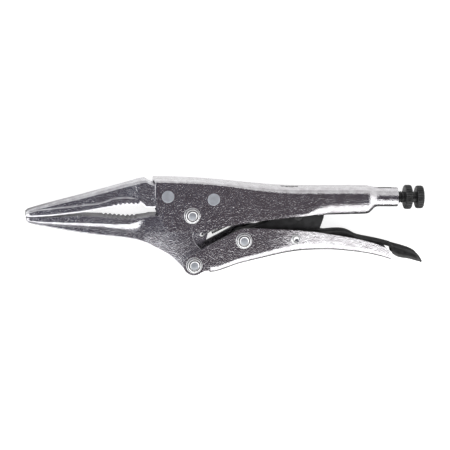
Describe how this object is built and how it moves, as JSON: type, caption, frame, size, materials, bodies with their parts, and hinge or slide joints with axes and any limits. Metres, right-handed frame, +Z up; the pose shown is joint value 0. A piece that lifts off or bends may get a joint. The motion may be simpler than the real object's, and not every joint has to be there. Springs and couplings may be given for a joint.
{
  "type": "locking pliers",
  "caption": "Long-nose locking pliers: toggle-locked lower jaw, adjusting screw with knurled knob and lock nut, black release lever in the lower handle.",
  "frame": {"origin": "centre of the jaw pivot's lower rivet head, on the surface the tool lies on", "axes": "+X from the jaw tips to the adjusting knob, +Y from the lower handle to the upper handle, +Z up along the pivots"},
  "size_m": [0.2395, 0.0576, 0.02],
  "materials": {
    "plated_handle": "bright nickel plate over bumpy pressed sheet",
    "plated_jaw": "bright nickel plate over forged steel",
    "filed_rivet": "filed nearly flush, satin",
    "bright_rivet": "bright, dished middle",
    "bright_washer": "bright",
    "spring_wire": "satin wire",
    "black_oxide": "satin black"
  },
  "bodies": {
    "fixed_side": {"upper_handle": "plated_handle", "fixed_jaw": "plated_jaw", "front_jaw_rivet": "filed_rivet", "rear_jaw_rivet": "filed_rivet", "jaw_pivot_rivet": "bright_rivet", "jaw_washer_upper": "bright_washer", "jaw_washer_lower": "bright_washer", "jaw_spring": "spring_wire"},
    "jaw_side": {"lower_jaw": "plated_jaw"},
    "handle_side": {"lower_handle": "plated_handle", "handle_pivot_rivet": "bright_rivet", "handle_washer_upper": "bright_washer", "handle_washer_lower": "bright_washer", "toggle_pivot_rivet": "bright_rivet", "toggle_washer_upper": "bright_washer", "toggle_washer_lower": "bright_washer", "release_rivet": "bright_rivet"},
    "link": {"toggle_link": "black_oxide"},
    "release": {"release_lever": "black_oxide"},
    "nut": {"lock_nut": "black_oxide"},
    "screw": {"adjusting_screw": "black_oxide", "adjusting_knob": "black_oxide"}
  },
  "joints": [
    {"name": "jaw_open", "type": "hinge", "parent": "fixed_side", "child": "jaw_side", "pos_m": [0, 0, 0.01], "axis": [0, 0, 1], "range_deg": [0, 26], "deforming": ["jaw_spring"]},
    {"name": "handle_swing", "type": "hinge", "parent": "jaw_side", "child": "handle_side", "pos_m": [0.0022, -0.0302, 0.01], "axis": [0, 0, 1], "range_deg": [-67.58, 0]},
    {"name": "link_swing", "type": "hinge", "parent": "handle_side", "child": "link", "pos_m": [0.0315, -0.0152, 0.01], "axis": [0, 0, 1], "range_deg": [0, 69.66]},
    {"name": "release_press", "type": "hinge", "parent": "handle_side", "child": "release", "pos_m": [0.063, -0.0143, 0.01], "axis": [0, 0, 1], "range_deg": [-4.4, 0]},
    {"name": "screw_turn", "type": "hinge", "parent": "nut", "child": "screw", "pos_m": [0.13, 0.0099, 0.01], "axis": [1, 0, 0], "range_deg": [0, 5766]},
    {"name": "screw_travel", "type": "slide", "parent": "fixed_side", "child": "nut", "axis": [1, 0, 0], "range_m": [0, 0.02]}
  ],
  "couplings": [
    {"joint": "handle_swing", "follows": "jaw_open", "ratio": -2.58},
    {"joint": "link_swing", "follows": "jaw_open", "ratio": 2.66},
    {"joint": "screw_turn", "follows": "screw_travel", "rad_per_m": 5026.5}
  ]
}
